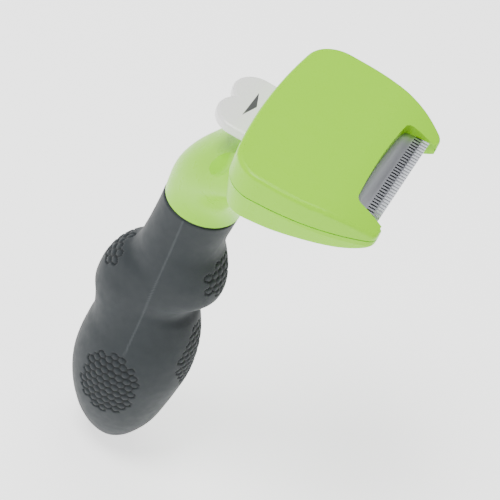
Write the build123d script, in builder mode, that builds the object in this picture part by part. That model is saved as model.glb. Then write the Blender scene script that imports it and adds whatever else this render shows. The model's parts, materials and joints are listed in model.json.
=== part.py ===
from build123d import *
import os

# Deshedding tool: a comb head on a rubber-covered handle.  Millimetres.
# +Z is the way the flat front face looks, -Y the way the comb points, and the
# handle hangs below the head.  The origin is the middle of the bounding box's base.
# "Depth" is a distance below the front face.

# ---------------------------------------------------------------- driving dimensions
FACE_Z = 164.4  # flat front face above the end of the handle
HALF_WIDTH = 35.0  # head, at its widest
REAR_Y = 10.15  # crown of the arched rear edge
REAR_CORNER_Y = 6.85  # where the rear arch meets the sides
REAR_CORNER_RADIUS = 11.0
SIDE_BEND_Y = -8.0  # sides are straight behind this, curved in front of it
TIP_X, TIP_Y = 26.5, -39.05  # where the sides end at the two cheeks
TIP_RADIUS = 3.4
SKIN = 2.2  # wall of both shells
RIM_RADIUS = 1.4  # rounding of the front face's edge
SEAM_DEPTH = 8.6  # joint of the two shells, at the rear
SEAM_GAP = 0.35  # height of the shadow gap below the joint
SEAM_GROOVE = 0.5  # how far the shadow gap goes in
SCOOP_RADIUS = 9.0  # hollow on each side of the thumb ramp
SCOOP_CENTRE = (15.5, 18.0, 16.5)  # x, y, depth
SHELL_TAPER = 12.0  # draft of the lower shell's sides, degrees

MOUTH_HALF_REAR = 20.6  # comb mouth, at its arch
MOUTH_HALF_FRONT = 21.9  # comb mouth, between the cheek ends
MOUTH_CORNER_Y, MOUTH_ARCH_Y = -28.4, -27.3
MOUTH_CORNER_RADIUS = 2.5
CHANNEL_HALF = 22.6  # slot below the skin that holds the blade's ends
LIP_REAR_Y = -23.6  # rear of the thick lip above the blade
SHELF_FRONT_Y = -33.4  # front of the lower shell's shelf under the comb

BLADE_TOP = 4.4
BLADE_THICK = 0.8
BLADE_HALF = 22.3
BLADE_REAR_Y = -15.5
TOOTH_ROOT_Y, TOOTH_TIP_Y = -32.0, -36.6
TOOTH_COUNT = 32
TOOTH_PITCH = 1.39
TOOTH_ROOT_WIDTH, TOOTH_TIP_WIDTH = 0.78, 0.44

TRAVEL = 6.5  # ejector stroke
GAP = 0.35  # clearance around whatever slides
SLIDE_TOP = BLADE_TOP + BLADE_THICK + GAP
SLIDE_THICK = 1.6
SLIDE_END = SLIDE_TOP + SLIDE_THICK
SLIDE_FRONT_HALF, SLIDE_STEM_HALF = 19.0, 10.0
SLIDE_FRONT_Y, SLIDE_STEP_Y, SLIDE_REAR_Y = -28.0, -14.0, 6.0
WING_FRONT_Y, WING_REAR_Y = 2.5, 4.6
PUSHER_HALF = 21.6
PUSHER_FRONT_Y, PUSHER_LAP_Y = -34.4, -24.5
PUSHER_END = SLIDE_END + 1.2
PUSHER_FLOOR = PUSHER_END + GAP

BUTTON_TOP = SLIDE_END
BUTTON_THICK = 3.4
BUTTON_HALF = 13.2
LOBE_RADIUS = 7.6
LOBE_Y = 14.65
BUTTON_TAIL_Y = -2.0
BUTTON_ROUND = 1.1

SPRING_X = 17.5
SPRING_DEPTH = 11.4
SPRING_RADIUS = 2.0
SPRING_WIRE = 0.3
SPRING_TURNS = 8
SPRING_FRONT_Y, SPRING_REAR_Y = -11.5, WING_FRONT_Y
SPRING_PIN_RADIUS = 1.1

NECK_AXIS_Y = 16.0  # centre of the neck ring and of the handle's top
NECK_RADIUS = 12.4
NECK_BASE = 49.85
SEAL_THICK = 0.6
SPIGOT_RADIUS = 7.4
SPIGOT_END = 72.0
CORE_TOP = NECK_BASE + SEAL_THICK
CORE_SPLIT_Y = 17.0
RUBBER_WALL = 2.6
CORE_WALL = 2.6
RETAINER_DEPTH = 61.5

BLADE_SCREW_X = [-15.0, 0.0, 15.0]
BLADE_SCREW_Y = -20.5
COVER_SCREWS = [(28.0, -6.0, 13.4), (28.5, -20.0, 10.6)]  # x, y, depth of the head's seat
CORE_SCREWS = [(8.0, 104.0), (-8.0, 104.0), (0.0, 140.0)]  # x, depth
RELIEF = 3.0  # cuts run past the faces by this

# Curves of the side view, rear to nose: y and depth.
FAR_REAR_Y = REAR_Y + 2.0
NOSE_CURVE = [(-20.0, 0.0), (-26.0, 0.45), (-31.0, 1.5), (-35.5, 3.1), (TIP_Y - 0.4, 5.0)]
SEAM_CURVE = [(FAR_REAR_Y, SEAM_DEPTH), (0.0, 8.5), (-10.0, 7.8), (-22.0, 7.1), (TIP_Y - 0.4, 6.5)]
UNDERSIDE_CURVE = [
    (FAR_REAR_Y, 18.0), (2.0, 18.0), (-10.0, 16.3), (-20.0, 14.1), (-29.0, 12.5), (-35.0, 10.7), (TIP_Y - 0.4, 7.9),
]
FLOOR_CURVE = [(FAR_REAR_Y, 15.7), (2.0, 15.6), (-10.0, 13.9), (-20.0, 11.8), (-26.0, 10.8)]

# Handle, top to bottom: depth, front y, back y, half-width.
HANDLE_SECTIONS = [
    (CORE_TOP, 3.75, 28.45, 12.3),
    (56.0, 4.3, 28.6, 12.2),
    (62.5, 4.8, 29.0, 12.2),
    (66.5, 4.2, 29.3, 12.4),
    (70.0, 1.3, 29.7, 12.8),
    (74.0, -0.7, 30.1, 13.2),
    (77.5, -1.4, 31.2, 13.5),
    (81.5, -0.8, 34.7, 13.9),
    (86.5, 1.7, 37.2, 14.2),
    (93.0, 5.2, 38.9, 14.3),
    (98.0, 2.9, 38.8, 14.4),
    (103.0, 0.9, 37.0, 14.9),
    (109.0, -0.7, 35.6, 15.9),
    (116.0, -1.6, 36.1, 17.2),
    (123.0, -1.8, 36.6, 17.9),
    (131.0, -0.8, 36.3, 17.8),
    (139.0, 0.5, 34.5, 16.8),
    (147.0, 2.2, 31.5, 14.4),
    (153.5, 4.8, 28.2, 11.4),
    (158.5, 7.6, 24.4, 8.3),
    (162.0, 10.6, 20.7, 5.2),
    (163.8, 12.9, 17.9, 2.7),
    (FACE_Z, 14.0, 16.8, 1.5),
]

# Neck, bottom to top: depth, front y, back y, half-width.
NECK_SECTIONS = [
    (NECK_BASE, NECK_AXIS_Y - NECK_RADIUS, NECK_AXIS_Y + NECK_RADIUS, NECK_RADIUS),
    (45.5, 3.3, 28.5, 12.6),
    (40.5, 1.8, 28.2, 13.8),
    (33.0, -1.6, 25.3, 17.2),
    (26.5, -5.2, 19.9, 21.0),
    (20.6, -9.0, 14.2, 24.8),
    (16.0, -11.0, 9.0, 27.0),
]


# ---------------------------------------------------------------- shared shapes
def level(depth):
    """Height of a plane that lies depth below the front face."""
    return FACE_Z - depth


def head_outline(depth, inset=0.0):
    """Plan of the head: arched rear, straight sides, curved flanks, blunt cheek ends."""
    with BuildSketch(Plane.XY.offset(level(depth))) as outline:
        with BuildLine():
            ThreePointArc((-HALF_WIDTH, REAR_CORNER_Y), (0, REAR_Y), (HALF_WIDTH, REAR_CORNER_Y))
            for side in (1, -1):
                Line((side * HALF_WIDTH, REAR_CORNER_Y), (side * HALF_WIDTH, SIDE_BEND_Y))
                TangentArc((side * HALF_WIDTH, SIDE_BEND_Y), (side * TIP_X, TIP_Y), tangent=(0, -1))
            Line((TIP_X, TIP_Y), (-TIP_X, TIP_Y))
        make_face()
        fillet(outline.vertices().group_by(Axis.Y)[-1], radius=REAR_CORNER_RADIUS)
        fillet(outline.vertices().group_by(Axis.Y)[0], radius=TIP_RADIUS)
        if inset:
            offset(amount=-inset, kind=Kind.INTERSECTION)
    return outline.sketch


def hollow_outline(depth, inset):
    """The part of the head's plan behind the lip, shrunk by the wall."""
    with BuildSketch(Plane.XY.offset(level(depth))) as hollow:
        add(head_outline(depth, inset))
        with Locations((0, LIP_REAR_Y)):
            Rectangle(4 * HALF_WIDTH, 60, align=(Align.CENTER, Align.MAX), mode=Mode.SUBTRACT)
    return hollow.sketch


def side_curve(points):
    """Curve in the side view through points given as y and depth."""
    return Spline(*[(y, level(depth)) for y, depth in points])


def oval_loft(sections, inset=0.0, ruled=False):
    """Solid through level ovals given as depth, front y, back y and half-width."""
    with BuildPart() as body:
        for depth, front, back, half in sections:
            with BuildSketch(Plane.XY.offset(level(depth))):
                with Locations((0, (front + back) / 2)):
                    Ellipse(half - inset, (back - front) / 2 - inset)
        loft(ruled=ruled)
    return body.part


def handle_between(top, end):
    """Sections of the handle whose depths lie between top and end."""
    return [section for section in HANDLE_SECTIONS if top <= section[0] <= end]


def rod(x, y, depth_top, depth_end, radius, mode=Mode.ADD):
    """Upright cylinder between two depths."""
    with Locations((x, y, level(depth_top))):
        Cylinder(radius, depth_end - depth_top, align=(Align.CENTER, Align.CENTER, Align.MAX), mode=mode)


def bar(x, depth, y_low, y_high, radius, mode=Mode.ADD):
    """Cylinder along Y between two y values."""
    with Locations(Location((x, y_low, level(depth)), (-90, 0, 0))):
        Cylinder(radius, y_high - y_low, align=(Align.CENTER, Align.CENTER, Align.MIN), mode=mode)


def block(x_low, x_high, y_low, y_high, depth_top, depth_end, mode=Mode.ADD):
    """Box between two x values, two y values and two depths."""
    middle = ((x_low + x_high) / 2, (y_low + y_high) / 2, level((depth_top + depth_end) / 2))
    with Locations(middle):
        Box(x_high - x_low, y_high - y_low, depth_end - depth_top, mode=mode)


def finish(piece, name):
    """Label a finished piece and write it."""
    piece.part.label = name
    export_step(piece.part, f"parts/{name}.step")


os.makedirs("parts", exist_ok=True)

# ---------------------------------------------------------------- front cover
BOSS_RADIUS = 2.8
BOSS_END = 8.0  # depth at which the cover's bosses meet the housing's
THREAD_RADIUS = 1.05
PILOT_RADIUS = 1.1
PILOT_TOP = 3.6  # depth of the pilot holes' closed ends

with BuildSketch(Plane.YZ) as cover_side:
    with BuildLine():
        flat = Line((FAR_REAR_Y, FACE_Z), (NOSE_CURVE[0][0], FACE_Z))
        nose = Spline(*[(y, level(d)) for y, d in NOSE_CURVE], tangents=[(-1, 0), (-1, -0.6)])
        seam = side_curve(SEAM_CURVE)
        Line(flat @ 0, seam @ 0)
        Line(nose @ 1, seam @ 1)
    make_face()

with BuildSketch(Plane.XY.offset(level(-RELIEF))) as mouth:
    with BuildLine():
        front_y = TIP_Y - RELIEF
        ThreePointArc(
            (-MOUTH_HALF_REAR, MOUTH_CORNER_Y), (0, MOUTH_ARCH_Y), (MOUTH_HALF_REAR, MOUTH_CORNER_Y)
        )
        for side in (1, -1):
            Line((side * MOUTH_HALF_REAR, MOUTH_CORNER_Y), (side * MOUTH_HALF_FRONT, front_y))
        Line((MOUTH_HALF_FRONT, front_y), (-MOUTH_HALF_FRONT, front_y))
    make_face()
    fillet(mouth.vertices().group_by(Axis.Y)[-1], radius=MOUTH_CORNER_RADIUS)

with BuildPart() as front_cover:
    extrude(to_extrude=head_outline(0), amount=-(SEAM_DEPTH + RELIEF))
    extrude(to_extrude=cover_side.sketch, amount=HALF_WIDTH + RELIEF, both=True, mode=Mode.INTERSECT)
    rim = front_cover.faces().sort_by(Axis.Z)[-1].edges().filter_by(Axis.X, reverse=True)
    fillet(rim, radius=RIM_RADIUS)
    # hollow behind the lip, slot for the blade and the pusher, comb mouth
    extrude(to_extrude=hollow_outline(SKIN, SKIN), amount=-30, mode=Mode.SUBTRACT)
    block(-CHANNEL_HALF, CHANNEL_HALF, TIP_Y - RELIEF, LIP_REAR_Y, BLADE_TOP, 30, mode=Mode.SUBTRACT)
    extrude(to_extrude=mouth.sketch, amount=-40, mode=Mode.SUBTRACT)
    # upper half of the slot for the button
    slot_half = BUTTON_HALF + GAP
    block(-slot_half, slot_half, REAR_Y - 6, REAR_Y + RELIEF, BUTTON_TOP - GAP, 30, mode=Mode.SUBTRACT)
    # pads above the blade and bosses for the screws
    for x in BLADE_SCREW_X:
        rod(x, BLADE_SCREW_Y, SKIN - 0.2, BLADE_TOP, BOSS_RADIUS)
        rod(x, BLADE_SCREW_Y, 1.2, BLADE_TOP, PILOT_RADIUS, mode=Mode.SUBTRACT)
    for x, y, seat in COVER_SCREWS:
        for side in (1, -1):
            rod(side * x, y, SKIN - 0.2, BOSS_END, BOSS_RADIUS)
            rod(side * x, y, PILOT_TOP, BOSS_END, PILOT_RADIUS, mode=Mode.SUBTRACT)
finish(front_cover, "front_cover")

# ---------------------------------------------------------------- rear housing with the neck
HOLLOW_INSET = 3.7
NECK_BORE_RADIUS = 5.5
STOP_THICK = 1.6
PEDESTAL_HALF = 2.6
RAIL_X = SLIDE_STEM_HALF + GAP
RAIL_WIDTH = 2.6
RAIL_FRONT_Y, RAIL_REAR_Y = -13.6, -9.0
RAIL_BASE = 11.0  # depth of the pedestal that carries a rail
HEAD_RADIUS = 2.0
HEAD_THICK = 1.4
RECESS_RADIUS = 2.3
CLEARANCE_RADIUS = 1.3

with BuildSketch(Plane.YZ) as housing_side:
    with BuildLine():
        seam = side_curve(SEAM_CURVE)
        underside = side_curve(UNDERSIDE_CURVE)
        Line(seam @ 0, underside @ 0)
        Line(seam @ 1, underside @ 1)
    make_face()

with BuildSketch(Plane.YZ) as hollow_side:
    with BuildLine():
        floor = side_curve(FLOOR_CURVE)
        Polyline(floor @ 0, (FAR_REAR_Y, FACE_Z), ((floor @ 1).X, FACE_Z), floor @ 1)
    make_face()

with BuildPart() as housing_hollow:
    extrude(to_extrude=hollow_outline(0, HOLLOW_INSET), amount=-40)
    extrude(to_extrude=hollow_side.sketch, amount=HALF_WIDTH, both=True, mode=Mode.INTERSECT)

with BuildSketch(Plane.YZ) as seam_side:
    with BuildLine():
        gap_top = side_curve(SEAM_CURVE)
        gap_bottom = side_curve([(y, depth + SEAM_GAP) for y, depth in SEAM_CURVE])
        Line(gap_top @ 0, gap_bottom @ 0)
        Line(gap_top @ 1, gap_bottom @ 1)
    make_face()

with BuildPart() as seam_groove:
    extrude(to_extrude=seam_side.sketch, amount=HALF_WIDTH + RELIEF, both=True)
    extrude(to_extrude=head_outline(0, SEAM_GROOVE), amount=-NECK_BASE, mode=Mode.SUBTRACT)

with BuildPart() as rear_housing:
    extrude(to_extrude=head_outline(3.0), amount=-(SEAM_DEPTH - 3.0))
    extrude(to_extrude=head_outline(SEAM_DEPTH), amount=-12, taper=SHELL_TAPER)
    extrude(to_extrude=housing_side.sketch, amount=HALF_WIDTH + RELIEF, both=True, mode=Mode.INTERSECT)
    add(seam_groove.part, mode=Mode.SUBTRACT)
    add(oval_loft(NECK_SECTIONS))
    scoop_x, scoop_y, scoop_depth = SCOOP_CENTRE
    with Locations((scoop_x, scoop_y, level(scoop_depth)), (-scoop_x, scoop_y, level(scoop_depth))):
        Sphere(SCOOP_RADIUS, mode=Mode.SUBTRACT)
    rod(0, NECK_AXIS_Y, NECK_BASE, SPIGOT_END, SPIGOT_RADIUS)
    # hollow of the head, run of the pusher, open front between the cheeks
    add(housing_hollow.part, mode=Mode.SUBTRACT)
    front_y = TIP_Y - RELIEF
    block(-CHANNEL_HALF, CHANNEL_HALF, front_y, LIP_REAR_Y + 1, -1, PUSHER_FLOOR, mode=Mode.SUBTRACT)
    block(-CHANNEL_HALF, CHANNEL_HALF, front_y, SHELF_FRONT_Y, -1, 30, mode=Mode.SUBTRACT)
    # lower half of the slot for the button
    button_floor = BUTTON_TOP + BUTTON_THICK + GAP
    block(-slot_half, slot_half, REAR_Y - 6, REAR_Y + RELIEF, -1, button_floor, mode=Mode.SUBTRACT)
    # the neck is moulded hollow
    rod(0, 2.0, 14.0, 26.0, NECK_BORE_RADIUS, mode=Mode.SUBTRACT)
    rod(0, 11.5, 25.0, 44.0, NECK_BORE_RADIUS, mode=Mode.SUBTRACT)
    # spring stops, rail pedestals and screw bosses stand on the floor
    for side in (1, -1):
        stop_low, stop_high = sorted((side * (SPRING_X - 2.8), side * (SPRING_X + 2.8)))
        block(stop_low, stop_high, SPRING_FRONT_Y - STOP_THICK, SPRING_FRONT_Y, SLIDE_END + GAP, 15.0)
        rail_low, rail_high = sorted((side * RAIL_X, side * (RAIL_X + RAIL_WIDTH)))
        block(rail_low, rail_high, RAIL_FRONT_Y, RAIL_REAR_Y, RAIL_BASE, 15.0)
        bar(side * SPRING_X, SPRING_DEPTH, SPRING_FRONT_Y - STOP_THICK, SPRING_FRONT_Y,
            SPRING_PIN_RADIUS, mode=Mode.SUBTRACT)
        for x, y, seat in COVER_SCREWS:
            rod(side * x, y, -1, BOSS_END, BOSS_RADIUS + 0.05, mode=Mode.SUBTRACT)
            rod(side * x, y, BOSS_END, seat + 1.0, BOSS_RADIUS)
            rod(side * x, y, BOSS_END, seat, CLEARANCE_RADIUS, mode=Mode.SUBTRACT)
            rod(side * x, y, seat, seat + 12, RECESS_RADIUS, mode=Mode.SUBTRACT)
    # cross hole for the threaded insert
    bar(0, RETAINER_DEPTH, NECK_AXIS_Y + 1, NECK_AXIS_Y + SPIGOT_RADIUS + 1, 2.3, mode=Mode.SUBTRACT)
finish(rear_housing, "rear_housing")

# ---------------------------------------------------------------- comb blade and its screws
with BuildPart() as comb_blade:
    block(-BLADE_HALF, BLADE_HALF, TOOTH_ROOT_Y, BLADE_REAR_Y, BLADE_TOP, BLADE_TOP + BLADE_THICK)
    with BuildSketch(Plane.XY.offset(level(BLADE_TOP))):
        with GridLocations(TOOTH_PITCH, 0, TOOTH_COUNT, 1):
            root, tip = TOOTH_ROOT_WIDTH / 2, TOOTH_TIP_WIDTH / 2
            Polygon(
                (-root, TOOTH_ROOT_Y + 0.2), (-tip, TOOTH_TIP_Y),
                (tip, TOOTH_TIP_Y), (root, TOOTH_ROOT_Y + 0.2),
                align=None,
            )
    extrude(amount=-BLADE_THICK)
    for x in BLADE_SCREW_X:
        rod(x, BLADE_SCREW_Y, BLADE_TOP, BLADE_TOP + BLADE_THICK, CLEARANCE_RADIUS, mode=Mode.SUBTRACT)
finish(comb_blade, "comb_blade")


def screw(x, y, tip_depth, seat):
    """Pan-headed screw driven upwards: shank, head and cross recess."""
    rod(x, y, tip_depth, seat + 0.2, THREAD_RADIUS)
    rod(x, y, seat, seat + HEAD_THICK, HEAD_RADIUS)
    recess_top = seat + HEAD_THICK - 0.7
    block(x - 1.1, x + 1.1, y - 0.25, y + 0.25, recess_top, seat + HEAD_THICK + 0.1, mode=Mode.SUBTRACT)
    block(x - 0.25, x + 0.25, y - 1.1, y + 1.1, recess_top, seat + HEAD_THICK + 0.1, mode=Mode.SUBTRACT)


with BuildPart() as blade_screws:
    for x in BLADE_SCREW_X:
        screw(x, BLADE_SCREW_Y, 1.4, BLADE_TOP + BLADE_THICK)
finish(blade_screws, "blade_screws")

with BuildPart() as cover_screws:
    for x, y, seat in COVER_SCREWS:
        screw(x, y, PILOT_TOP + 0.3, seat)
        screw(-x, y, PILOT_TOP + 0.3, seat)
finish(cover_screws, "cover_screws")

# ---------------------------------------------------------------- ejector: pusher, slide, button
SCREW_SLOT_HALF = HEAD_RADIUS + GAP
RIVET_X = [-17.0, -6.0, 6.0, 17.0]
RIVET_Y = -26.2
RIVET_RADIUS = 0.9
RIVET_HOLE_RADIUS = 0.95
BUTTON_PIN_X = 5.5
BUTTON_PIN_Y = 1.5
LUG_END = SPRING_DEPTH + SPRING_RADIUS + 0.6

with BuildPart() as ejector_slide:
    block(-SLIDE_FRONT_HALF, SLIDE_FRONT_HALF, SLIDE_FRONT_Y, SLIDE_STEP_Y, SLIDE_TOP, SLIDE_END)
    block(-SLIDE_STEM_HALF, SLIDE_STEM_HALF, SLIDE_STEP_Y, SLIDE_REAR_Y, SLIDE_TOP, SLIDE_END)
    block(-SPRING_X - 2.4, SPRING_X + 2.4, WING_FRONT_Y, WING_REAR_Y, SLIDE_TOP, SLIDE_END)
    for side in (1, -1):
        lug_low, lug_high = sorted((side * (SPRING_X - 2.4), side * (SPRING_X + 2.4)))
        block(lug_low, lug_high, WING_FRONT_Y, WING_REAR_Y, SLIDE_END, LUG_END)
        pin_x = side * BUTTON_PIN_X
        rod(pin_x, BUTTON_PIN_Y, SLIDE_TOP, SLIDE_END, RIVET_HOLE_RADIUS, mode=Mode.SUBTRACT)
    for x in BLADE_SCREW_X:
        block(
            x - SCREW_SLOT_HALF, x + SCREW_SLOT_HALF,
            BLADE_SCREW_Y - SCREW_SLOT_HALF, BLADE_SCREW_Y + TRAVEL + SCREW_SLOT_HALF,
            SLIDE_TOP, SLIDE_END, mode=Mode.SUBTRACT,
        )
    for x in RIVET_X:
        rod(x, RIVET_Y, SLIDE_TOP, SLIDE_END, RIVET_HOLE_RADIUS, mode=Mode.SUBTRACT)
finish(ejector_slide, "ejector_slide")

with BuildPart() as pusher_bar:
    block(-PUSHER_HALF, PUSHER_HALF, PUSHER_FRONT_Y, SLIDE_FRONT_Y, SLIDE_TOP, PUSHER_END)
    block(-PUSHER_HALF, PUSHER_HALF, SLIDE_FRONT_Y, PUSHER_LAP_Y, SLIDE_END, PUSHER_END)
    front_edge = pusher_bar.edges().filter_by(Axis.X).group_by(Axis.Y)[0].sort_by(Axis.Z)[0]
    chamfer(front_edge, length=1.2)
    for x in RIVET_X:
        rod(x, RIVET_Y, SLIDE_END, PUSHER_END, RIVET_HOLE_RADIUS, mode=Mode.SUBTRACT)
finish(pusher_bar, "pusher_bar")

with BuildPart() as pusher_rivets:
    for x in RIVET_X:
        rod(x, RIVET_Y, SLIDE_TOP + 0.1, PUSHER_END - 0.1, RIVET_RADIUS)
finish(pusher_rivets, "pusher_rivets")

with BuildPart() as ejector_button:
    lobe_x = BUTTON_HALF - LOBE_RADIUS
    with BuildSketch(Plane.XY.offset(level(BUTTON_TOP))):
        with Locations((-lobe_x, LOBE_Y), (lobe_x, LOBE_Y)):
            Circle(LOBE_RADIUS)
        with Locations((0, LOBE_Y)):
            Rectangle(2 * BUTTON_HALF, LOBE_Y - BUTTON_TAIL_Y, align=(Align.CENTER, Align.MAX))
    extrude(amount=-BUTTON_THICK)
    fillet(ejector_button.faces().sort_by(Axis.Z)[-1].edges(), radius=BUTTON_ROUND)
    fillet(ejector_button.faces().sort_by(Axis.Z)[0].edges(), radius=BUTTON_ROUND)
    # recess for the arrow and holes for the pins
    with BuildSketch(Plane.XY.offset(level(BUTTON_TOP))) as arrow:
        Polygon((-6.2, 14.3), (6.2, 14.3), (0, 12.2), align=None)
    extrude(amount=-0.5, mode=Mode.SUBTRACT)
    for side in (1, -1):
        pin_x = side * BUTTON_PIN_X
        rod(pin_x, BUTTON_PIN_Y, BUTTON_TOP, BUTTON_TOP + 2.6, RIVET_HOLE_RADIUS, mode=Mode.SUBTRACT)
finish(ejector_button, "ejector_button")

with BuildPart() as button_arrow:
    extrude(to_extrude=arrow.sketch, amount=-0.5)
finish(button_arrow, "button_arrow")

with BuildPart() as button_pins:
    for side in (1, -1):
        rod(side * BUTTON_PIN_X, BUTTON_PIN_Y, SLIDE_TOP + 0.1, BUTTON_TOP + 2.4, RIVET_RADIUS)
finish(button_pins, "button_pins")

# ---------------------------------------------------------------- guides and return springs
for side, name in ((1, "right"), (-1, "left")):
    with BuildPart() as guide_rail:
        rail_low, rail_high = sorted((side * RAIL_X, side * (RAIL_X + RAIL_WIDTH)))
        block(rail_low, rail_high, RAIL_FRONT_Y, RAIL_REAR_Y, SLIDE_TOP - 0.2, RAIL_BASE)
    finish(guide_rail, f"guide_rail_{name}")

    with BuildPart() as spring_pin:
        bar(side * SPRING_X, SPRING_DEPTH, SPRING_FRONT_Y - STOP_THICK, SPRING_REAR_Y - TRAVEL - 0.6,
            SPRING_PIN_RADIUS - 0.05)
    finish(spring_pin, f"spring_pin_{name}")

    with BuildPart() as return_spring:
        spring_length = SPRING_REAR_Y - SPRING_FRONT_Y - 2 * SPRING_WIRE - 0.2
        start = (side * SPRING_X, SPRING_FRONT_Y + SPRING_WIRE + 0.1, level(SPRING_DEPTH))
        with BuildLine():
            coil = Helix(
                pitch=spring_length / SPRING_TURNS, height=spring_length,
                radius=SPRING_RADIUS - SPRING_WIRE, center=start, direction=(0, 1, 0),
            )
        with BuildSketch(Plane(origin=coil @ 0, z_dir=coil % 0)):
            Circle(SPRING_WIRE)
        sweep(path=coil)
    finish(return_spring, f"return_spring_{name}")

# ---------------------------------------------------------------- handle
SOCKET_RADIUS = SPIGOT_RADIUS + 0.05
CORE_END = 159.0
HOLLOW_TOP, HOLLOW_END = 76.0, 148.0
RETAINER_HEAD_RADIUS = 2.1
RETAINER_SEAT_Y = NECK_AXIS_Y + 9.0

with BuildPart() as neck_seal:
    rod(0, NECK_AXIS_Y, NECK_BASE, CORE_TOP, NECK_RADIUS - 0.3)
    rod(0, NECK_AXIS_Y, NECK_BASE, CORE_TOP, SOCKET_RADIUS, mode=Mode.SUBTRACT)
finish(neck_seal, "neck_seal")

core_outside = oval_loft(handle_between(CORE_TOP, CORE_END), RUBBER_WALL, ruled=True)

with BuildPart() as core_bosses:
    for x, depth in CORE_SCREWS:
        bar(x, depth, CORE_SPLIT_Y - 16, CORE_SPLIT_Y + 16, BOSS_RADIUS)
    add(core_outside, mode=Mode.INTERSECT)

with BuildPart() as core:
    add(core_outside)
    core_hollow = oval_loft(handle_between(HOLLOW_TOP, HOLLOW_END), RUBBER_WALL + CORE_WALL, ruled=True)
    add(core_hollow, mode=Mode.SUBTRACT)
    rod(0, NECK_AXIS_Y, CORE_TOP, SPIGOT_END + 0.3, SOCKET_RADIUS, mode=Mode.SUBTRACT)
    add(core_bosses.part)
    for x, depth in CORE_SCREWS:
        bar(x, depth, CORE_SPLIT_Y - 7, CORE_SPLIT_Y + 7, PILOT_RADIUS, mode=Mode.SUBTRACT)
    # retaining screw
    bar(0, RETAINER_DEPTH, NECK_AXIS_Y, 40, CLEARANCE_RADIUS, mode=Mode.SUBTRACT)
    bar(0, RETAINER_DEPTH, RETAINER_SEAT_Y, 40, RETAINER_HEAD_RADIUS + 0.1, mode=Mode.SUBTRACT)

core_plane = Plane.XZ.offset(-CORE_SPLIT_Y)
with BuildPart() as core_front:
    add(core.part)
    split(bisect_by=core_plane, keep=Keep.TOP)
finish(core_front, "core_front")

with BuildPart() as core_back:
    add(core.part)
    split(bisect_by=core_plane, keep=Keep.BOTTOM)
finish(core_back, "core_back")

with BuildPart() as core_screws:
    for x, depth in CORE_SCREWS:
        bar(x, depth, CORE_SPLIT_Y - 6, CORE_SPLIT_Y + 6, THREAD_RADIUS)
finish(core_screws, "core_screws")

with BuildPart() as rubber_grip:
    add(oval_loft(HANDLE_SECTIONS, ruled=True))
    add(core_outside, mode=Mode.SUBTRACT)
    bar(0, RETAINER_DEPTH, NECK_AXIS_Y, 40, RETAINER_HEAD_RADIUS + 0.1, mode=Mode.SUBTRACT)
finish(rubber_grip, "rubber_grip")

with BuildPart() as neck_insert:
    bar(0, RETAINER_DEPTH, NECK_AXIS_Y + 1, NECK_AXIS_Y + SPIGOT_RADIUS - 0.4, 2.25)
    insert_back_y = NECK_AXIS_Y + SPIGOT_RADIUS - 0.4
    bar(0, RETAINER_DEPTH, NECK_AXIS_Y + 1, insert_back_y, PILOT_RADIUS, mode=Mode.SUBTRACT)
finish(neck_insert, "neck_insert")

with BuildPart() as retaining_screw:
    bar(0, RETAINER_DEPTH, NECK_AXIS_Y + 2, RETAINER_SEAT_Y + 0.2, THREAD_RADIUS)
    bar(0, RETAINER_DEPTH, RETAINER_SEAT_Y, RETAINER_SEAT_Y + HEAD_THICK, RETAINER_HEAD_RADIUS)
finish(retaining_screw, "retaining_screw")
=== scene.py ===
"""Dresses the deshedding tool for rendering.

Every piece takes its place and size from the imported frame. The moulded rubber grip is a new surface
with hexagonal cells; the other pieces keep the frame's meshes and get procedural finishes.
"""

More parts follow.
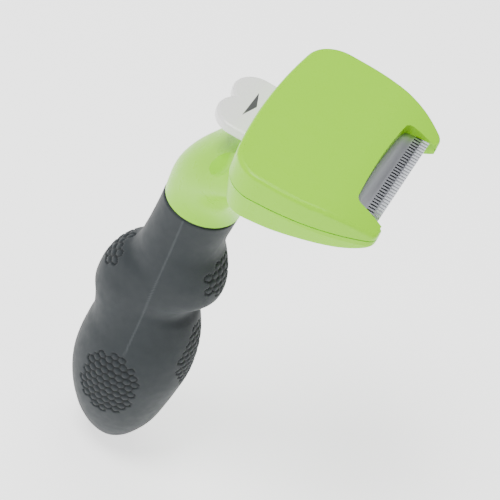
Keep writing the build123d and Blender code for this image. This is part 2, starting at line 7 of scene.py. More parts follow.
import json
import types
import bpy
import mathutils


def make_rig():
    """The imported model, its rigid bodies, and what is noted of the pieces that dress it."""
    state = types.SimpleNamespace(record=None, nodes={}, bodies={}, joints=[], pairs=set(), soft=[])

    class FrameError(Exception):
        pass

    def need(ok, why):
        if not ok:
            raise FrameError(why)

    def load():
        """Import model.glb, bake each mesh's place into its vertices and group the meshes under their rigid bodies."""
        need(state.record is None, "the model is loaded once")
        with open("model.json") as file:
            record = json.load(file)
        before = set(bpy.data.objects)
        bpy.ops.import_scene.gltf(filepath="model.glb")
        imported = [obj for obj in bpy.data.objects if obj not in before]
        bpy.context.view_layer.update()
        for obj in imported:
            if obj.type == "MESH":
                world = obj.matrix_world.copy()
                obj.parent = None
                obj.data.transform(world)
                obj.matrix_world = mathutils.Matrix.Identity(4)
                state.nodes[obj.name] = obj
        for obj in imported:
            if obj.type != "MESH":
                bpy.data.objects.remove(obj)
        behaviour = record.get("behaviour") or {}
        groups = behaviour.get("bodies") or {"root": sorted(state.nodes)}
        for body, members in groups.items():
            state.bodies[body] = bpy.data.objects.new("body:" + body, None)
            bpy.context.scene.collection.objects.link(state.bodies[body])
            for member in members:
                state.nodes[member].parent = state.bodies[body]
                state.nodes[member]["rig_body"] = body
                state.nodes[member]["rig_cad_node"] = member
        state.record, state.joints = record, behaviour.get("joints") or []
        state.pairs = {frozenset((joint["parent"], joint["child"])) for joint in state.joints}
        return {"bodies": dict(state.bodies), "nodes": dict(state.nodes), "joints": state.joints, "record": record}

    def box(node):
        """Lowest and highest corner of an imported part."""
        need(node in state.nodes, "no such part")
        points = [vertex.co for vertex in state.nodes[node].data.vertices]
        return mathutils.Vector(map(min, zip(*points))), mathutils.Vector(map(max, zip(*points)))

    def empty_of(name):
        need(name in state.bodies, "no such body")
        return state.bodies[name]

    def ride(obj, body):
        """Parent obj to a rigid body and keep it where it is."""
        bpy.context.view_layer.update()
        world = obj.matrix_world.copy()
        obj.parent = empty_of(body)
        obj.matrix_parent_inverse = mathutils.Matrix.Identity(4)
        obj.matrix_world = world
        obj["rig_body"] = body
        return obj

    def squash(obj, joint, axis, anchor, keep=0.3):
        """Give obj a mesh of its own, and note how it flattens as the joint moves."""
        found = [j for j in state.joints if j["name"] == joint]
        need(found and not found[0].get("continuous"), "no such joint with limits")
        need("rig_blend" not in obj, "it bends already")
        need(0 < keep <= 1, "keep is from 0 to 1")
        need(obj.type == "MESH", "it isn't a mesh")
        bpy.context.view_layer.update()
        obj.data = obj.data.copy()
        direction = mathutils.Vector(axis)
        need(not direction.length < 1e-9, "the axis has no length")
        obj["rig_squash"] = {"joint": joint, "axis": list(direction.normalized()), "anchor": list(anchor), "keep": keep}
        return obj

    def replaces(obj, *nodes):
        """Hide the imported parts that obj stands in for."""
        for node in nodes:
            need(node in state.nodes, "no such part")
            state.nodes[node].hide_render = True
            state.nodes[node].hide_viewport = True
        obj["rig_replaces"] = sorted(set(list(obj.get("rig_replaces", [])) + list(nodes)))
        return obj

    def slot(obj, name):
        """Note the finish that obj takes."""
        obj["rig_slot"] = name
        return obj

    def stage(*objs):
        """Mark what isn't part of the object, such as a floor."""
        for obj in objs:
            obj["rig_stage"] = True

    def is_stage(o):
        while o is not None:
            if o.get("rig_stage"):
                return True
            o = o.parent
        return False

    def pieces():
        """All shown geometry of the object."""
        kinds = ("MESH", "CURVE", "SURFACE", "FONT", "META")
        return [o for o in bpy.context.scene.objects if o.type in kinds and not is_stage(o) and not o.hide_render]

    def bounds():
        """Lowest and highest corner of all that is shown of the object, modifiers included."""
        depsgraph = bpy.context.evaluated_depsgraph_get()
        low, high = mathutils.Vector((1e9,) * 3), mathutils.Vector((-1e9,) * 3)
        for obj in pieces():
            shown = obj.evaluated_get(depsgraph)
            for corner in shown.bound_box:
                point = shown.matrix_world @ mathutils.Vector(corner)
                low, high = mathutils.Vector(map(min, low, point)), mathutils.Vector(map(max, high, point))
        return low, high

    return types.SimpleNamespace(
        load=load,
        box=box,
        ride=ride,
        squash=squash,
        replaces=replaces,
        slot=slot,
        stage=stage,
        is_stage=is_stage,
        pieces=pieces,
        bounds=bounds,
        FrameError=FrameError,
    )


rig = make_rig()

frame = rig.load()

import json
import logging
import math
from dataclasses import dataclass, field
from enum import Enum
from typing import Dict, List, Sequence, Tuple

import bpy
import numpy as np
from mathutils import Matrix

LOG = logging.getLogger("deshedding_tool")
MM = 0.001
FACE_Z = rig.box("front_cover")[1][2]
SIZE_REPORT = "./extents.json"

TINY = 1e-12  # keeps a division from meeting zero
CREASE_DEGREES = 32.0  # edges sharper than this stay crisp
WHITE = (1.0, 1.0, 1.0, 1.0)

Colour = Tuple[float, float, float]
Triple = Tuple[float, float, float]


def plain_bounds() -> List[List[float]]:
    """The bounds of all that is shown, as plain lists.

    Returns:
        The lowest and the highest corner, in metres.
    """
    return [[float(value) for value in corner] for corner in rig.bounds()]


BOUNDS_AT_LOAD = plain_bounds()


class Pattern(Enum):
    """How a finish varies over the surface."""

    GRAIN = "fine even grain"
    BRUSHED = "scratches along one axis"


RELIEF_STRENGTH = {Pattern.GRAIN: 0.6, Pattern.BRUSHED: 0.9}


@dataclass(frozen=True)
class Finish:
    """What a procedural material is made of.

    Attributes:
        slot: the record's material slot.
        colour: the main linear colour.
        drift: the linear colour it drifts to over a few centimetres.
        roughness: the mean roughness.
        spread: how far the roughness varies each way.
        metallic: 0 for plastics and rubber, 1 for metals.
        pattern: grain or brushed.
        grain: size of the fine pattern, in metres.
        relief: height of the fine pattern, in metres.
        stretch: how much the pattern is stretched along X, Y and Z.
        specular: strength of the plain reflection.
        coat: weight of a clear, smoother top layer.
        sheen: weight of a soft edge bloom.
        groove_shade_colour: painted shade, a darker colour in the grooves of a surface with a "groove" attribute.
        line_colour: colour on the moulding line of a surface with a "line" attribute.
    """

    slot: str
    colour: Colour
    drift: Colour
    roughness: float
    spread: float = 0.05
    metallic: float = 0.0
    pattern: Pattern = Pattern.GRAIN
    grain: float = 0.0004
    relief: float = 0.00001
    stretch: Triple = (1.0, 1.0, 1.0)
    specular: float = 0.5
    coat: float = 0.0
    sheen: float = 0.0
    groove_shade_colour: Colour | None = None
    line_colour: Colour | None = None


FINISHES: Tuple[Finish, ...] = (
    Finish(
        "lime_shell",
        (0.29, 0.72, 0.0),
        (0.305, 0.745, 0.0),
        0.3,
        specular=0.2,
        grain=0.0005,
        relief=0.000012,
    ),
    Finish(
        "grip_rubber",
        (0.021, 0.026, 0.029),
        (0.025, 0.030, 0.034),
        0.62,
        specular=0.22,
        grain=0.00035,
        relief=0.00002,
        sheen=0.03,
        # painted shade: the darker colour laid into the grooves between the cells
        groove_shade_colour=(0.008, 0.010, 0.011),
        line_colour=(0.045, 0.052, 0.057),
    ),
    Finish(
        "blade_steel",
        (0.40, 0.41, 0.45),
        (0.46, 0.47, 0.51),
        0.36,
        spread=0.1,
        metallic=1.0,
        pattern=Pattern.BRUSHED,
        grain=0.0004,
        relief=0.000004,
        stretch=(0.04, 1.0, 1.0),
    ),
    Finish(
        "fastener_steel",
        (0.50, 0.50, 0.51),
        (0.42, 0.42, 0.43),
        0.34,
        spread=0.1,
        metallic=1.0,
        pattern=Pattern.BRUSHED,
        grain=0.0003,
        relief=0.000003,
        stretch=(1.0, 1.0, 0.2),
    ),
    Finish(
        "spring_steel",
        (0.56, 0.56, 0.57),
        (0.47, 0.47, 0.49),
        0.22,
        metallic=1.0,
        grain=0.0002,
        relief=0.000002,
    ),
    Finish("natural_acetal", (0.78, 0.77, 0.72), (0.72, 0.71, 0.66), 0.45),
    Finish("seal_rubber", (0.016, 0.017, 0.016), (0.024, 0.025, 0.024), 0.7, relief=0.00002),
    Finish("core_plastic", (0.07, 0.07, 0.075), (0.1, 0.1, 0.105), 0.55, relief=0.00002),
    Finish("insert_brass", (0.70, 0.50, 0.20), (0.60, 0.42, 0.16), 0.3, metallic=1.0),
    Finish("slide_plastic", (0.03, 0.032, 0.034), (0.045, 0.047, 0.05), 0.4),
    Finish(
        "button_plastic",
        (0.9, 0.895, 0.88),
        (0.92, 0.915, 0.90),
        0.28,
        coat=0.3,
        relief=0.000006,
    ),
    Finish("arrow_ink", (0.05, 0.05, 0.055), (0.07, 0.07, 0.075), 0.5),
)


@dataclass(frozen=True)
class SurfaceSettings:
    """What all the finishes have in common.

    Attributes:
        coat_roughness: roughness of the clear top layer.
        sheen_roughness: roughness of the edge bloom.
        drift_scale: patches of colour drift per metre.
        drift_detail: finer layers of the colour drift.
        rough_grains: size of the roughness pattern, in grains.
        rough_detail: finer layers of the roughness pattern.
        relief_detail: finer layers of the relief.
        noise_low: noise value that gives the lowest roughness.
        noise_high: noise value that gives the highest roughness.
    """

    coat_roughness: float = 0.2
    sheen_roughness: float = 0.5
    drift_scale: float = 45.0
    drift_detail: float = 2.0
    rough_grains: float = 8.0
    rough_detail: float = 4.0
    relief_detail: float = 3.0
    noise_low: float = 0.3
    noise_high: float = 0.7


class FinishLibrary:
    """Makes one node material per finish and hands it to the pieces."""

    def __init__(self, finishes: Sequence[Finish], settings: SurfaceSettings) -> None:
        """Builds every material once.

        Args:
            finishes: the finishes, one per material slot.
            settings: what they have in common.
        """
        self.settings = settings
        self.materials: Dict[str, bpy.types.Material] = {
            finish.slot: self._build(finish) for finish in finishes
        }

    def dress(self, piece: bpy.types.Object, slot: str) -> None:
        """Gives a piece its material and its slot.

        Args:
            piece: the object to dress.
            slot: the record's material slot.
        """
        piece.data.materials.clear()
        piece.data.materials.append(self.materials[slot])
        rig.slot(piece, slot)

    def _build(self, finish: Finish) -> bpy.types.Material:
        """Makes the node tree of one finish.

        The colour drifts with a broad noise, the roughness with a middling one, and the relief is a
        fine noise that is stretched along one axis for brushed metal.

        Args:
            finish: the finish to make.

        Returns:
            The material.
        """
        settings = self.settings
        material = bpy.data.materials.new(finish.slot)
        material.use_nodes = True
        tree = material.node_tree
        nodes, links = tree.nodes, tree.links
        shader = nodes["Principled BSDF"]
        shader.inputs["Metallic"].default_value = finish.metallic
        shader.inputs["Specular IOR Level"].default_value = finish.specular
        shader.inputs["Coat Weight"].default_value = finish.coat
        shader.inputs["Coat Roughness"].default_value = settings.coat_roughness
        shader.inputs["Sheen Weight"].default_value = finish.sheen
        shader.inputs["Sheen Roughness"].default_value = settings.sheen_roughness
        place = nodes.new("ShaderNodeTexCoord")
        stretch = nodes.new("ShaderNodeMapping")
        stretch.inputs["Scale"].default_value = finish.stretch
        links.new(place.outputs["Object"], stretch.inputs["Vector"])

        everywhere, stretched = place.outputs["Object"], stretch.outputs["Vector"]
        broad = self._noise(tree, everywhere, settings.drift_scale, settings.drift_detail)
        middling = self._noise(
            tree, stretched, 1.0 / (settings.rough_grains * finish.grain), settings.rough_detail
        )
        fine = self._noise(tree, stretched, 1.0 / finish.grain, settings.relief_detail)

        colour = self._mix(tree, broad.outputs["Fac"], finish.colour, finish.drift)
        # The "groove" attribute mixes in painted shade towards the grooves between cells; the "line" attribute mixes in
        # the moulding line's colour.
        for attribute, tint in (("groove", finish.groove_shade_colour), ("line", finish.line_colour)):
            if tint is not None:
                reader = nodes.new("ShaderNodeAttribute")
                reader.attribute_name = attribute
                colour = self._mix(tree, reader.outputs["Fac"], colour, tint)
        links.new(colour, shader.inputs["Base Color"])

        rough = nodes.new("ShaderNodeMapRange")
        rough.inputs["From Min"].default_value = settings.noise_low
        rough.inputs["From Max"].default_value = settings.noise_high
        rough.inputs["To Min"].default_value = finish.roughness - finish.spread
        rough.inputs["To Max"].default_value = finish.roughness + finish.spread
        links.new(middling.outputs["Fac"], rough.inputs["Value"])
        links.new(rough.outputs["Result"], shader.inputs["Roughness"])

        relief = nodes.new("ShaderNodeBump")
        relief.inputs["Strength"].default_value = RELIEF_STRENGTH[finish.pattern]
        relief.inputs["Distance"].default_value = finish.relief
        links.new(fine.outputs["Fac"], relief.inputs["Height"])
        links.new(relief.outputs["Normal"], shader.inputs["Normal"])
        return material

    @staticmethod
    def _noise(
        tree: bpy.types.NodeTree, vector: bpy.types.NodeSocket, scale: float, detail: float
    ) -> bpy.types.ShaderNode:
        """Adds a noise texture.

        Args:
            tree: the tree to add to.
            vector: where the noise is looked up.
            scale: features per metre.
            detail: how many finer layers are added.

        Returns:
            The noise node.
        """
        noise = tree.nodes.new("ShaderNodeTexNoise")
        noise.inputs["Scale"].default_value = scale
        noise.inputs["Detail"].default_value = detail
        tree.links.new(vector, noise.inputs["Vector"])
        return noise

    @staticmethod
    def _mix(
        tree: bpy.types.NodeTree,
        factor: bpy.types.NodeSocket,
        first: Colour | bpy.types.NodeSocket,
        second: Colour,
    ) -> bpy.types.NodeSocket:
        """Mixes two colours.

        Args:
            tree: the tree to add to.
            factor: 0 for the first colour, 1 for the second.
            first: a linear colour or the socket that gives it.
            second: a linear colour.

        Returns:
            The socket with the mixed colour.
        """
        mix = tree.nodes.new("ShaderNodeMix")
        mix.data_type = "RGBA"
        tree.links.new(factor, mix.inputs["Factor"])
        if isinstance(first, bpy.types.NodeSocket):
            tree.links.new(first, mix.inputs["A"])
        else:
            mix.inputs["A"].default_value = (*first, 1.0)
        mix.inputs["B"].default_value = (*second, 1.0)
        return mix.outputs["Result"]


def smooth_step(low: float, high: float, value: np.ndarray) -> np.ndarray:
    """A soft step from 0 at low to 1 at high.

    Args:
        low: where the step starts.
        high: where it ends.
        value: the values to step.

    Returns:
        Numbers from 0 to 1.
    """
    share = np.clip((value - low) / (high - low), 0.0, 1.0)
    return share * share * (3.0 - 2.0 * share)


def smooth_curve(places: np.ndarray, values: np.ndarray, at: np.ndarray) -> np.ndarray:
    """A curve through given values whose slope at each is that of the line between its two
    neighbours.

    Each span is a cubic with the end values and end slopes, so the curve has no corners.

    Args:
        places: where the values are given, rising.
        values: the values.
        at: where the curve is wanted.

    Returns:
        The curve at those places.
    """
    slopes = np.gradient(values, places)
    span = np.clip(np.searchsorted(places, at, side="right") - 1, 0, len(places) - 2)
    width = places[span + 1] - places[span]
    share = np.clip((at - places[span]) / width, 0.0, 1.0)
    left = 1.0 - share
    start = (1.0 + 2.0 * share) * left**2 * values[span] + share * left**2 * width * slopes[span]
    last = span + 1
    end = share**2 * (3.0 - 2.0 * share) * values[last] - share**2 * left * width * slopes[last]
    return start + end


def tube_mesh(
    name: str, rows: np.ndarray, first_pole: np.ndarray, last_pole: np.ndarray
) -> bpy.types.Object:
    """A closed surface made of rings, with a point at each end.

    Ring i and ring i+1 are joined by one quad per column, and each end ring by a fan of triangles
    to its pole. Rings run anticlockwise seen from the last pole, which points the faces outwards.

    Args:
        name: the object's name.
        rows: the rings, as rings by columns by three, in metres.
        first_pole: the point that closes the first ring.
        last_pole: the point that closes the last ring.

    Returns:
        The object, at the origin.
    """
    rings, columns = rows.shape[:2]
    points = np.vstack([rows.reshape(-1, 3), first_pole, last_pole])
    index = np.arange(rings * columns).reshape(rings, columns)
    beside = np.roll(index, -1, axis=1)
    quads = np.stack([index[:-1], beside[:-1], beside[1:], index[1:]], axis=-1).reshape(-1, 4)
    start = np.full(columns, rings * columns)
    first_fan = np.stack([start, beside[0], index[0]], axis=-1)
    last_fan = np.stack([start + 1, index[-1], beside[-1]], axis=-1)
    fans = np.vstack([first_fan, last_fan])
    mesh = bpy.data.meshes.new(name)
    mesh.from_pydata(points, [], quads.tolist() + fans.tolist())
    mesh.update()
    mesh.shade_smooth()
    piece = bpy.data.objects.new(name, mesh)
    bpy.context.scene.collection.objects.link(piece)
    return piece


@dataclass(frozen=True)
class Patch:
    """A patch of hexagonal cells on the grip.

    Attributes:
        faces: the outward direction the patch looks along, in X and Y.
        across: the patch's middle across that direction, in mm.
        depth: the patch's middle, in mm below the front face.
        half_across: its half width, in mm.
        half_down: its half height, in mm.
    """

    faces: Tuple[float, float]
    across: float
    depth: float
    half_across: float
    half_down: float


@dataclass(frozen=True)
class CellSize:
    """Sizes of the hexagonal cells, with lengths in mm.

    Attributes:
        spacing: distance between the middles of two cells.
        groove: half width of the groove between cells.
        shoulder: width over which a cell rounds off.
        depth: depth of the grooves.
        darkest: share of the groove's half width that takes the full painted shade.
        fade: share of the shoulder over which the painted shade fades out.
        height_weight: weight of the height in a patch's outline; below 1 makes a patch taller.
        least_facing: least cosine between the surface and the way a patch looks.
    """

    spacing: float = 2.8
    groove: float = 0.2
    shoulder: float = 0.5
    depth: float = 0.5
    darkest: float = 0.6
    fade: float = 0.45
    height_weight: float = 0.9
    least_facing: float = 0.25


@dataclass(frozen=True)
class LineSize:
    """Sizes of the moulding line, in mm.

    Attributes:
        y: where the line runs down each side.
        end: depth at which it ends.
        fade_out: length over which it fades before that.
        half: half width at full height.
        foot: half width at its foot.
        height: how far it stands out.
    """

    y: float = 17.0
    end: float = 113.0
    fade_out: float = 2.0
    half: float = 0.1
    foot: float = 0.45
    height: float = 0.05


@dataclass(frozen=True)
class RecessSize:
    """Sizes of the round recess over the retaining screw, in mm.

    Attributes:
        depth: depth of its middle below the front face.
        radius: its radius.
        floor: y of its floor.
        outer_edge: how far outside the radius its wall starts.
        inner_edge: how far inside the radius its floor starts.
        catch: how near an edge a point must be to be drawn onto it.
        margin: how far past the floor's edge still counts as floor.
    """

    depth: float = 61.5
    radius: float = 2.25
    floor: float = 25.1
    outer_edge: float = 0.2
    inner_edge: float = 0.1
    catch: float = 0.16
    margin: float = 0.02


@dataclass(frozen=True)
class GripSize:
    """Sizes of the grip's surface, with lengths in mm.

    Attributes:
        sections: depth, front y, back y and half width down the grip.
        top: depth of the rim at the neck.
        bottom: depth of the lowest point.
        end_gap: how far above the lowest point the last ring lies.
        wall: thickness of the rubber.
        rim_round: rounding of the rim's edge.
        squareness: power of the ring's outline; 2 is an ellipse.
        columns: points round a ring.
        pitch: distance between rings.
        crowding: power that crowds the rings towards the bottom; 1 spaces them evenly.
        lip_rings: rings round the rim's edge.
        inner_rings: rings on the inside.
        inner_gap: how far above the lowest point the inside ends.
        cells: the hexagonal cells.
        line: the moulding line.
        recess: the screw recess.
    """

    sections: Tuple[Tuple[float, float, float, float], ...]
    top: float = 50.5
    bottom: float = 164.35
    end_gap: float = 0.15
    wall: float = 2.6
    rim_round: float = 0.5
    squareness: float = 2.15
    columns: int = 272
    pitch: float = 0.36
    crowding: float = 1.08
    lip_rings: int = 3
    inner_rings: int = 40
    inner_gap: float = 7.0
    cells: CellSize = CellSize()
    line: LineSize = LineSize()
    recess: RecessSize = RecessSize()


GRIP_SIZE = GripSize(
    sections=(
        (50.45, 3.75, 28.45, 12.3),
        (56.0, 4.3, 28.6, 12.2),
        (62.5, 4.8, 29.0, 12.2),
        (66.5, 4.2, 29.3, 12.4),
        (70.0, 2.4, 29.7, 12.8),
        (74.0, 0.6, 30.1, 13.2),
        (78.0, -0.6, 31.4, 13.6),
        (81.5, -1.0, 34.7, 13.9),
        (84.5, -0.6, 36.6, 14.1),
        (87.5, 1.2, 37.7, 14.2),
        (90.5, 4.0, 38.4, 14.3),
        (94.0, 5.2, 38.75, 14.3),
        (98.0, 2.9, 38.7, 14.4),
        (103.0, 0.9, 37.0, 14.9),
        (109.0, -0.7, 35.6, 15.9),
        (116.0, -1.6, 36.1, 17.2),
        (123.0, -1.8, 36.6, 17.9),
        (131.0, -0.8, 36.3, 17.8),
        (139.0, 0.5, 34.5, 16.8),
        (147.0, 2.2, 31.5, 14.4),
        (153.5, 4.8, 28.2, 11.4),
        (158.5, 7.6, 24.4, 8.3),
        (162.0, 10.6, 20.7, 5.2),
        (163.8, 12.9, 17.9, 2.7),
        (164.4, 14.8, 16.0, 0.6),
    )
)
PATCHES = (
    Patch((-1.0, 0.0), 18.2, 126.5, 9.2, 13.0),
    Patch((1.0, 0.0), 18.2, 126.5, 9.2, 13.0),
    Patch((0.0, -1.0), 0.0, 113.0, 7.2, 12.6),
    Patch((0.0, -1.0), 0.0, 74.5, 7.8, 6.6),
    Patch((0.0, 1.0), 0.0, 84.5, 8.6, 4.9),
)


@dataclass(frozen=True)
class GripPiece:
    """The finished grip.

    Attributes:
        surface: the rubber.
    """

    surface: bpy.types.Object


class RubberGrip:
    """The rubber sleeve of the handle, with its cells, moulding line and screw recess."""

    def __init__(self, size: GripSize, patches: Sequence[Patch], library: FinishLibrary) -> None:
        """Keeps what the grip is made of.

        Args:
            size: its sizes.
            patches: its patches of cells.
            library: the finishes.
        """
        self.size = size
        self.patches = patches
        self.library = library
        table = np.array(size.sections)
        self.depths, self.fronts, self.backs, self.halves = table.T

    def build(self) -> GripPiece:
        """Builds and dresses the grip.

        Returns:
            The finished grip.
        """
        size = self.size
        angles = np.linspace(0.0, 2.0 * math.pi, size.columns, endpoint=False)
        count = int((size.bottom - size.top) / size.pitch)
        spacing = np.linspace(0.0, 1.0, count)
        length = size.bottom - size.end_gap - size.top
        depths = size.top + length * (1.0 - (1.0 - spacing) ** size.crowding)
        outer = self._rings(angles, depths, 0.0)
        normals = self._normals(outer)
        sunk, groove = self._cells(outer, normals)
        line = self._moulding_line(outer)
        outer = outer - normals * (sunk - size.line.height * MM * line)[..., None]
        outer = self._recess(outer)

        corner = np.linspace(0.0, 0.5 * math.pi, size.lip_rings + 1)[:-1]
        rim_depth = np.array([size.top])
        lip = []
        for turn in corner:
            inset = size.rim_round * (1.0 - math.sin(turn))
            drop = size.rim_round * (1 - math.cos(turn))
            lip.append(self._rings(angles, rim_depth, inset, drop))
        keep = depths > size.top + size.rim_round
        inner_depths = np.linspace(size.top, size.bottom - size.inner_gap, size.inner_rings)
        inner = self._rings(angles, inner_depths, size.wall)[::-1]
        rows = np.concatenate([inner] + lip + [outer[keep]], axis=0)
        plain = np.zeros((len(inner) + len(lip), size.columns))
        first = rows[0].mean(axis=0)
        last = np.array([0.0, rows[-1][:, 1].mean(), FACE_Z - size.bottom * MM])
        piece = tube_mesh("Rubber_grip", rows, first, last)
        # The "groove" attribute carries the painted shade of the grooves, and "line" the moulding line.
        for name, values in (("groove", groove), ("line", line)):
            shares = np.concatenate([plain, values[keep]], axis=0).ravel()
            layer = piece.data.attributes.new(name, "FLOAT", "POINT")
            layer.data.foreach_set("value", np.append(shares, [0.0, 0.0]).astype(np.float32))
        self.library.dress(piece, "grip_rubber")
        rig.replaces(piece, "rubber_grip")
        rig.ride(piece, "tool")
        return GripPiece(piece)

    def _rings(
        self, angles: np.ndarray, depths: np.ndarray, inset: float, drop: float = 0.0
    ) -> np.ndarray:
        """Level rings of the grip.

        A ring is a slightly squared ellipse: half width times the cosine, and half length times the
        sine, each raised to two over the squareness. The half sizes and the middle follow the
        section curves down the grip.

        Args:
            angles: angles round the ring.
            depths: depths of the rings, in mm.
            inset: how far inside the surface they lie, in mm.
            drop: how much lower than their depth they are placed, in mm.

        Returns:
            The rings, in metres.
        """
        front = smooth_curve(self.depths, self.fronts, depths)[:, None] + inset
        back = smooth_curve(self.depths, self.backs, depths)[:, None] - inset
        half = smooth_curve(self.depths, self.halves, depths)[:, None] - inset
        power = 2.0 / self.size.squareness
        cosine, sine = np.cos(angles)[None, :], np.sin(angles)[None, :]
        across = half * np.sign(cosine) * np.abs(cosine) ** power
        along = 0.5 * (front + back) - 0.5 * (back - front) * np.sign(sine) * np.abs(sine) ** power
        height = np.broadcast_to((FACE_Z / MM - depths - drop)[:, None], across.shape)
        return np.stack([across, along, height], axis=-1) * MM

    @staticmethod
    def _normals(rows: np.ndarray) -> np.ndarray:
        """Outward unit normals of a grid of rings.

        Args:
            rows: the rings.

        Returns:
            One normal per point.
        """
        round_it = np.roll(rows, -1, axis=1) - np.roll(rows, 1, axis=1)
        down = np.gradient(rows, axis=0)
        normal = np.cross(down, round_it)
        normal /= np.maximum(np.linalg.norm(normal, axis=-1, keepdims=True), TINY)
        middle = rows.mean(axis=1, keepdims=True)
        outwards = np.sign((normal * (rows - middle)).sum(axis=(1, 2), keepdims=True))
        return normal * outwards

    def _cells(self, rows: np.ndarray, normals: np.ndarray) -> Tuple[np.ndarray, np.ndarray]:
        """Depth of the grooves between the hexagonal cells, and the painted shade in them.

        The middles of the cells form a triangular lattice: two square lattices, one shifted by half
        a step each way. A point belongs to the nearest middle, and the groove is where the distance
        to the cell's edge is small.

        Args:
            rows: the rings.
            normals: their normals.

        Returns:
            How far each point sinks, in metres, and how much painted shade it takes in a groove, from 0 to 1.
        """
        cells = self.size.cells
        sink = np.zeros(rows.shape[:2])
        groove = np.zeros(rows.shape[:2])
        step = np.array([cells.spacing, cells.spacing * math.sqrt(3.0)])
        for patch in self.patches:
            facing = normals[..., 0] * patch.faces[0] + normals[..., 1] * patch.faces[1]
            across = rows[..., 1 if patch.faces[0] else 0] / MM - patch.across
            down = FACE_Z / MM - rows[..., 2] / MM - patch.depth
            spot = np.stack([across, down], axis=-1)
            lattice_one = np.round(spot / step) * step
            lattice_two = (np.floor(spot / step) + 0.5) * step
            distance_one = np.linalg.norm(spot - lattice_one, axis=-1)
            distance_two = np.linalg.norm(spot - lattice_two, axis=-1)
            nearer = distance_one < distance_two
            middle = np.where(nearer[..., None], lattice_one, lattice_two)
            offset = np.abs(spot - middle)
            slanted = 0.5 * offset[..., 0] + 0.5 * math.sqrt(3.0) * offset[..., 1]
            edge = 0.5 * cells.spacing - np.maximum(offset[..., 0], slanted)
            wide = np.abs(middle[..., 0]) / patch.half_across
            high = np.abs(middle[..., 1]) / patch.half_down * cells.height_weight
            outline = np.maximum(wide, 0.5 * wide + high)
            inside = (outline < 1.0) & (facing > cells.least_facing)
            depth = 1.0 - smooth_step(cells.groove, cells.groove + cells.shoulder, edge)
            # Painted shade: the grooves are darkened, fully near their middle and fading out over part of the shoulder.
            shade_end = cells.groove + cells.fade * cells.shoulder
            painted_shade = 1.0 - smooth_step(cells.darkest * cells.groove, shade_end, edge)
            sink = np.where(inside, np.maximum(sink, depth), sink)
            groove = np.where(inside, np.maximum(groove, painted_shade), groove)
        return sink * cells.depth * MM, groove

    def _moulding_line(self, rows: np.ndarray) -> np.ndarray:
        """The faint line down each side where the mould parted.

        Args:
            rows: the rings.

        Returns:
            1 on the line, 0 away from it.
        """
        line = self.size.line
        away = np.abs(rows[..., 1] / MM - line.y)
        depth = FACE_Z / MM - rows[..., 2] / MM
        beyond = smooth_step(line.end - line.fade_out, line.end, depth)
        return (1.0 - smooth_step(line.half, line.foot, away)) * (1.0 - beyond)

    def _recess(self, rows: np.ndarray) -> np.ndarray:
        """The round recess over the retaining screw.

        Points near the recess's edge are first drawn onto it, and those inside are then moved in to
        its floor.

        Args:
            rows: the rings, in metres.

        Returns:
            The rings with the recess.
        """
        recess = self.size.recess
        rows = rows.copy()
        centre = np.array([0.0, FACE_Z / MM - recess.depth])
        flat = rows[..., [0, 2]] / MM - centre
        distance = np.linalg.norm(flat, axis=-1)
        behind = rows[..., 1] / MM > self.size.line.y
        for radius in (recess.radius + recess.outer_edge, recess.radius - recess.inner_edge):
            near = behind & (np.abs(distance - radius) < recess.catch)
            scale = np.where(near, radius / np.maximum(distance, TINY), 1.0)[..., None]
            rows[..., [0, 2]] = (centre + flat * scale) * MM
            flat = rows[..., [0, 2]] / MM - centre
            distance = np.linalg.norm(flat, axis=-1)
        within = behind & (distance <= recess.radius - recess.inner_edge + recess.margin)
        rows[..., 1] = np.where(within, recess.floor * MM, rows[..., 1])
        return rows


@dataclass(frozen=True)
class SpringSize:
    """How the return springs squash.

    Attributes:
        joint: the joint that squashes them.
        nodes: the springs.
        fixed_y: y of the end that stays, in mm.
        travel: how much shorter they get, in mm.
    """

    joint: str
    nodes: Tuple[str, ...] = ("return_spring_right", "return_spring_left")
    fixed_y: float = -11.5
    travel: float = 6.5


@dataclass(frozen=True)
class MechanismPieces:
    """The finished pieces that keep the frame's meshes.

    Attributes:
        dressed: all of them.
    """

    dressed: Tuple[bpy.types.Object, ...]


class Mechanism:
    """The shells, comb, ejector and fasteners, which keep the frame's meshes."""

    def __init__(self, spring: SpringSize, library: FinishLibrary) -> None:
        """Keeps what is dressed.

        Args:
            spring: how the springs squash.
            library: the finishes.
        """
        self.spring = spring
        self.library = library

    def build(self, replaced: Sequence[str]) -> MechanismPieces:
        """Dresses every frame node that isn't replaced.

        Args:
            replaced: the names of the nodes that new pieces stand for.

        Returns:
            The finished pieces.
        """
        dressed = []
        for part in frame["record"]["subparts"]:
            name = part["node"]
            if name in replaced:
                continue
            piece = frame["nodes"][name]
            self.library.dress(piece, part["material_slot"])
            piece.data.shade_smooth()
            piece.data.set_sharp_from_angle(angle=math.radians(CREASE_DEGREES))
            dressed.append(piece)
        for name in self.spring.nodes:
            self._squash(frame["nodes"][name])
        return MechanismPieces(tuple(dressed))

    def _squash(self, piece: bpy.types.Object) -> None:
        """Makes a spring shorten with the ejector.

        Args:
            piece: the spring.
        """
        low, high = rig.box(piece.name)
        length = high[1] - low[1]
        anchor = (0.5 * (low[0] + high[0]), self.spring.fixed_y * MM, 0.5 * (low[2] + high[2]))
        keep = (length - self.spring.travel * MM) / length
        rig.squash(piece, self.spring.joint, (0.0, 1.0, 0.0), anchor, keep=keep)


@dataclass(frozen=True)
class Lamp:
    """A soft rectangular light.

    Attributes:
        name: its name.
        place: where it stands, in metres.
        width: its side, in metres.
        power: its power, in watts.
    """

    name: str
    place: Triple
    width: float
    power: float


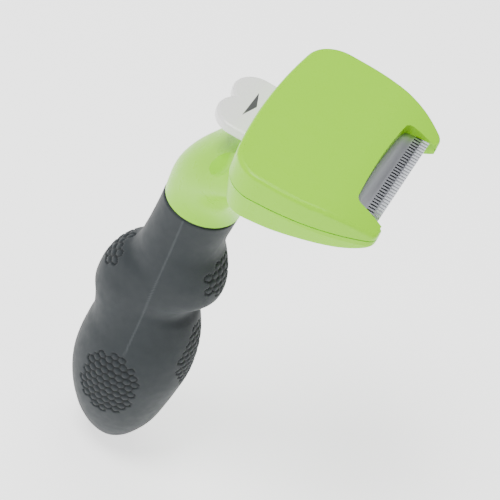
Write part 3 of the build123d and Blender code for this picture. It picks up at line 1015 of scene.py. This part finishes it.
@dataclass(frozen=True)
class StudioSize:
    """The camera, lights and floor.

    Attributes:
        eye: the camera's place, in metres.
        right: the camera's right-hand direction.
        up: the camera's upward direction.
        lens: focal length, in mm.
        sensor: width of the sensor, in mm.
        clip: nearest and furthest distance shown, in metres.
        shift: the camera's sideways and upward shift, in picture widths.
        target: what the lights point at, in metres.
        floor_half: half the floor's side, in metres.
        floor_drop: how far below zero the floor lies, in metres.
        floor_colour: linear grey of the floor.
        floor_roughness: its roughness.
        floor_glow: strength of the floor's own light, which keeps it near white.
        sky: strength of the even light from all round.
        lamps: the lights.
    """

    eye: Triple = (-0.5564, -0.0795, 0.6401)
    right: Triple = (0.40658, -0.86254, 0.30119)
    up: Triple = (0.56503, 0.49645, 0.659)
    lens: float = 180.7
    sensor: float = 36.0
    clip: Tuple[float, float] = (0.05, 30.0)
    shift: Tuple[float, float] = (-0.0022, -0.0032)
    target: Triple = (0.0, 0.0, 0.1)
    floor_half: float = 6.0
    floor_drop: float = 0.0005
    floor_colour: float = 0.9
    floor_roughness: float = 0.9
    floor_glow: float = 1.6
    sky: float = 0.3
    lamps: Tuple[Lamp, ...] = (
        Lamp("Key", (-0.35, 0.35, 1.2), 0.4, 15.5),
        Lamp("Fill", (-0.3, -0.9, 0.6), 0.9, 1.5),
        Lamp("Top", (0.3, 0.1, 1.2), 0.6, 6.5),
    )


class Studio:
    """The stage round the object."""

    def __init__(self, size: StudioSize) -> None:
        """Keeps the stage's sizes.

        Args:
            size: camera, lights and floor.
        """
        self.size = size

    def build(self) -> None:
        """Builds the floor, the lights, the world and the camera."""
        scene = bpy.context.scene
        stage = [self._floor()]
        for lamp in self.size.lamps:
            stage.append(self._lamp(lamp))
        world = bpy.data.worlds.new("studio")
        world.use_nodes = True
        background = world.node_tree.nodes["Background"]
        background.inputs["Color"].default_value = WHITE
        background.inputs["Strength"].default_value = self.size.sky
        scene.world = world
        scene.camera = self._camera()
        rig.stage(*stage)

    def _floor(self) -> bpy.types.Object:
        """Makes the pale floor.

        Returns:
            The floor.
        """
        half = self.size.floor_half
        corners = [(-half, -half, 0.0), (half, -half, 0.0), (half, half, 0.0), (-half, half, 0.0)]
        mesh = bpy.data.meshes.new("Floor")
        mesh.from_pydata(corners, [], [(0, 1, 2, 3)])
        floor = bpy.data.objects.new("Floor", mesh)
        floor.location.z = -self.size.floor_drop
        bpy.context.scene.collection.objects.link(floor)
        material = bpy.data.materials.new("floor")
        material.use_nodes = True
        shader = material.node_tree.nodes["Principled BSDF"]
        shader.inputs["Base Color"].default_value = (*[self.size.floor_colour] * 3, 1.0)
        shader.inputs["Roughness"].default_value = self.size.floor_roughness
        shader.inputs["Emission Color"].default_value = WHITE
        shader.inputs["Emission Strength"].default_value = self.size.floor_glow
        mesh.materials.append(material)
        return floor

    def _lamp(self, lamp: Lamp) -> bpy.types.Object:
        """Places a light so that it looks at the target.

        Args:
            lamp: the light.

        Returns:
            The light's object.
        """
        data = bpy.data.lights.new(lamp.name, "AREA")
        data.size = lamp.width
        data.energy = lamp.power
        light = bpy.data.objects.new(lamp.name, data)
        away = np.array(lamp.place) - np.array(self.size.target)
        away /= np.linalg.norm(away)
        side = np.cross((0.0, 0.0, 1.0), away)
        side /= np.linalg.norm(side)
        light.matrix_world = self._pose(side, np.cross(away, side), lamp.place)
        bpy.context.scene.collection.objects.link(light)
        return light

    def _camera(self) -> bpy.types.Object:
        """Makes the camera.

        Returns:
            The camera.
        """
        data = bpy.data.cameras.new("Camera")
        data.lens = self.size.lens
        data.sensor_width = self.size.sensor
        data.shift_x, data.shift_y = self.size.shift
        data.clip_start, data.clip_end = self.size.clip
        camera = bpy.data.objects.new("Camera", data)
        right, up = np.array(self.size.right), np.array(self.size.up)
        camera.matrix_world = self._pose(right, up, self.size.eye)
        bpy.context.scene.collection.objects.link(camera)
        return camera

    @staticmethod
    def _pose(right: np.ndarray, up: np.ndarray, place: Sequence[float]) -> Matrix:
        """The placement of something that looks along its own downward axis.

        Args:
            right: its right-hand direction.
            up: its upward direction.
            place: its place.

        Returns:
            The placement matrix.
        """
        pose = np.eye(4)
        pose[:3, 0] = right
        pose[:3, 1] = up
        pose[:3, 2] = np.cross(right, up)
        pose[:3, 3] = place
        return Matrix(pose.tolist())


@dataclass(frozen=True)
class SizeReport:
    """The bounds before and after dressing.

    Attributes:
        at_load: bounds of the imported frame.
        at_finish: bounds of what is shown.
    """

    at_load: List[List[float]] = field(default_factory=list)
    at_finish: List[List[float]] = field(default_factory=list)

    def write(self, path: str) -> None:
        """Writes both bounds as plain lists.

        Args:
            path: the file to write.
        """
        with open(path, "w", encoding="utf-8") as target:
            json.dump({"at_load": self.at_load, "at_finish": self.at_finish}, target)


def main() -> None:
    """Builds every piece in order and reports each one."""
    logging.basicConfig(level=logging.INFO)
    library = FinishLibrary(FINISHES, SurfaceSettings())
    grip = RubberGrip(GRIP_SIZE, PATCHES, library).build()
    mechanism = Mechanism(SpringSize("ejector_slide_joint"), library).build(("rubber_grip",))
    for piece in (grip.surface, *mechanism.dressed):
        LOG.info("%s: %d faces", piece.name, len(piece.data.polygons))
    Studio(StudioSize()).build()
    SizeReport(BOUNDS_AT_LOAD, plain_bounds()).write(SIZE_REPORT)


if __name__ == "__main__":
    main()
